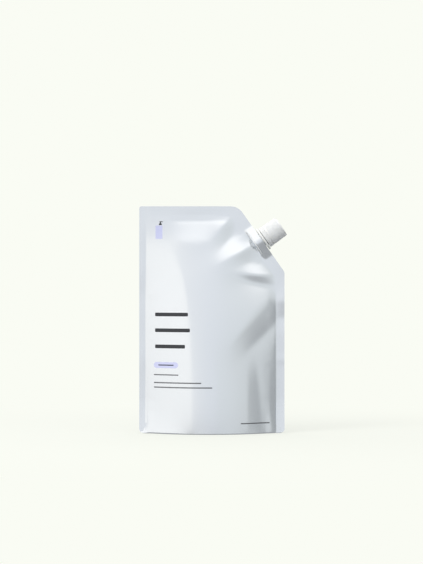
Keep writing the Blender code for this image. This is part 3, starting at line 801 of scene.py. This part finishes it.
# Cap: a polypropylene screw cap with fine upright ribs over a plain skirt band, a flat top with the mark of the
# mould's gate, a sealing plug that fits in the mouth, and the thread inside.
cap_plastic = moulded_plastic("white_cap", (0.88, 0.885, 0.875), 0.45)
cap_mesh = turned_mesh("cap_shell", [
    (0, 24.2), (0.9, 24.2), (1.2, 24.4), (9.6, 24.4), (10.2, 24.35, 0.3), (10.5, 23.9, 0.3), (10.45, 23.4), (10.8, 9.6),
    (10.9, 9.3, 0.2), (10.9, 8.0, 0.3), (9.2, 8.0, 0.2), (9.2, 22.6, 0.4), (5.95, 22.6), (5.95, 20.2), (5.6, 19.6, 0.2),
    (4.85, 19.6, 0.2), (4.85, 22.6, 0.3), (0, 22.6)])
ribs = {"Count": 56.0, "Radius": 10.74 * mm, "Bar": 0.33 * mm, "Length": 14.0 * mm, "From": 9.4 * mm,
        "Lean": -0.4 / 14.0}
cap_mesh = grown(cap_mesh, bars_tree, ribs, cap_plastic)
cap_thread = {"Radius": 9.05 * mm, "Ridge": 0.5 * mm, "Lead": THREAD_LEAD, "Turns": THREAD_TURNS, "From": 12.5 * mm,
              "Starts": 2.0}
cap = finished_piece("ribbed_cap", grown(cap_mesh, thread_tree, cap_thread, cap_plastic))
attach(cap, "screw_cap")
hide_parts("cap")


# Studio: a pale floor without a horizon, a wide softbox at the left and a darker side at the right.
world = bpy.data.worlds.new("studio")
bpy.context.scene.world = world
world.use_nodes = True
nodes, links = world.node_tree.nodes, world.node_tree.links
nodes.clear()


def world_node(kind, **settings):
    node = nodes.new(kind)
    for name, value in settings.items():
        setattr(node, name, value)
    return node


direction = world_node("ShaderNodeTexCoord")
parts = world_node("ShaderNodeSeparateXYZ")
links.new(direction.outputs["Generated"], parts.inputs[0])
# angle round the pack, 0.5 straight at the camera's side, less to the left and more to the right
facing = world_node("ShaderNodeMath", operation="MULTIPLY")
facing.inputs[1].default_value = -1
links.new(parts.outputs["Y"], facing.inputs[0])
turn = world_node("ShaderNodeMath", operation="ARCTAN2")
links.new(parts.outputs["X"], turn.inputs[0])
links.new(facing.outputs[0], turn.inputs[1])
turn_share = world_node("ShaderNodeMapRange")
turn_share.inputs["From Min"].default_value = -pi
turn_share.inputs["From Max"].default_value = pi
links.new(turn.outputs[0], turn_share.inputs["Value"])
round_wall = world_node("ShaderNodeValToRGB")
round_wall.color_ramp.interpolation = "EASE"
wall = [(-180, (0.55, 0.56, 0.58)), (-110, (0.80, 0.81, 0.83)), (-75, (1.04, 1.04, 1.03)), (-24, (1.04, 1.04, 1.03)),
        (-13, (0.84, 0.86, 0.89)), (4, (0.785, 0.815, 0.86)), (24, (0.745, 0.78, 0.805)), (46, (0.69, 0.72, 0.73)),
        (70, (0.40, 0.42, 0.43)), (110, (0.36, 0.37, 0.38)), (150, (0.5, 0.51, 0.53)), (180, (0.55, 0.56, 0.58))]
ramp = round_wall.color_ramp.elements
while len(ramp) < len(wall):
    ramp.new(0.5)
for element, (angle, colour) in zip(ramp, wall):
    element.position = 0.5 + angle / 360
    element.color = (*colour, 1)
links.new(turn_share.outputs[0], round_wall.inputs["Fac"])
# brighter overhead, darker underfoot
overhead = world_node("ShaderNodeMapRange", interpolation_type="SMOOTHSTEP")
overhead.inputs["From Min"].default_value = 0.34
overhead.inputs["From Max"].default_value = 0.66
links.new(parts.outputs["Z"], overhead.inputs["Value"])
underfoot = world_node("ShaderNodeMapRange", interpolation_type="SMOOTHSTEP")
underfoot.inputs["From Min"].default_value = 0.03
underfoot.inputs["From Max"].default_value = -0.50
links.new(parts.outputs["Z"], underfoot.inputs["Value"])
below_ceiling = world_node("ShaderNodeMix", data_type="RGBA")
below_ceiling.inputs["B"].default_value = (1.2, 1.2, 1.2, 1)
links.new(overhead.outputs[0], below_ceiling.inputs["Factor"])
links.new(round_wall.outputs["Color"], below_ceiling.inputs["A"])
lit = world_node("ShaderNodeMix", data_type="RGBA")
lit.inputs["B"].default_value = (0.36, 0.37, 0.38, 1)
links.new(underfoot.outputs[0], lit.inputs["Factor"])
links.new(below_ceiling.outputs["Result"], lit.inputs["A"])
seen = world_node("ShaderNodeLightPath")
room = world_node("ShaderNodeMix", data_type="RGBA")
links.new(seen.outputs["Is Camera Ray"], room.inputs["Factor"])
links.new(lit.outputs["Result"], room.inputs["A"])
CREAM = (0.955, 0.973, 0.905)
room.inputs["B"].default_value = (*CREAM, 1)
background = world_node("ShaderNodeBackground")
links.new(room.outputs["Result"], background.inputs["Color"])
sky = world_node("ShaderNodeOutputWorld")
links.new(background.outputs[0], sky.inputs["Surface"])

floor_mesh = bpy.data.meshes.new("floor")
bm = bmesh.new()
bmesh.ops.create_circle(bm, cap_ends=True, segments=96, radius=12)
bm.to_mesh(floor_mesh)
bm.free()
floor = bpy.data.objects.new("floor", floor_mesh)
floor.location.z = -0.0002
floor.visible_diffuse = False
floor.visible_glossy = False
bpy.context.scene.collection.objects.link(floor)
floor_material = bpy.data.materials.new("pale_floor")
floor_material.use_nodes = True
nodes, links = floor_material.node_tree.nodes, floor_material.node_tree.links
nodes.clear()
paper = nodes.new("ShaderNodeBsdfDiffuse")
paper.inputs["Color"].default_value = (0.735, 0.749, 0.696, 1)
glow = nodes.new("ShaderNodeEmission")
glow.inputs["Color"].default_value = (*CREAM, 1)
place = nodes.new("ShaderNodeTexCoord")
away = nodes.new("ShaderNodeVectorMath")
away.operation = "LENGTH"
links.new(place.outputs["Object"], away.inputs[0])
fade = nodes.new("ShaderNodeMapRange")
fade.interpolation_type = "SMOOTHSTEP"
fade.inputs["From Min"].default_value = 0.12
fade.inputs["From Max"].default_value = 0.5
fade.inputs["To Min"].default_value = 0.62
fade.inputs["To Max"].default_value = 1.0
links.new(away.outputs["Value"], fade.inputs["Value"])
blend = nodes.new("ShaderNodeMixShader")
links.new(fade.outputs[0], blend.inputs["Fac"])
links.new(paper.outputs[0], blend.inputs[1])
links.new(glow.outputs[0], blend.inputs[2])
surface = nodes.new("ShaderNodeOutputMaterial")
links.new(blend.outputs[0], surface.inputs["Surface"])
floor_mesh.materials.append(floor_material)

softbox_light = bpy.data.lights.new("softbox", "AREA")
softbox_light.shape = "RECTANGLE"
softbox_light.size, softbox_light.size_y = 0.8, 1.2
softbox_light.energy = 14
softbox = bpy.data.objects.new("softbox", softbox_light)
softbox.location = (-1.2, -1.1, 1.0)
softbox.rotation_euler = (Vector((0, 0, 0.1)) - softbox.location).to_track_quat("-Z", "Y").to_euler()
softbox.visible_glossy = False
bpy.context.scene.collection.objects.link(softbox)

scene = bpy.context.scene
scene.view_settings.view_transform = "Standard"
scene.view_settings.look = "None"
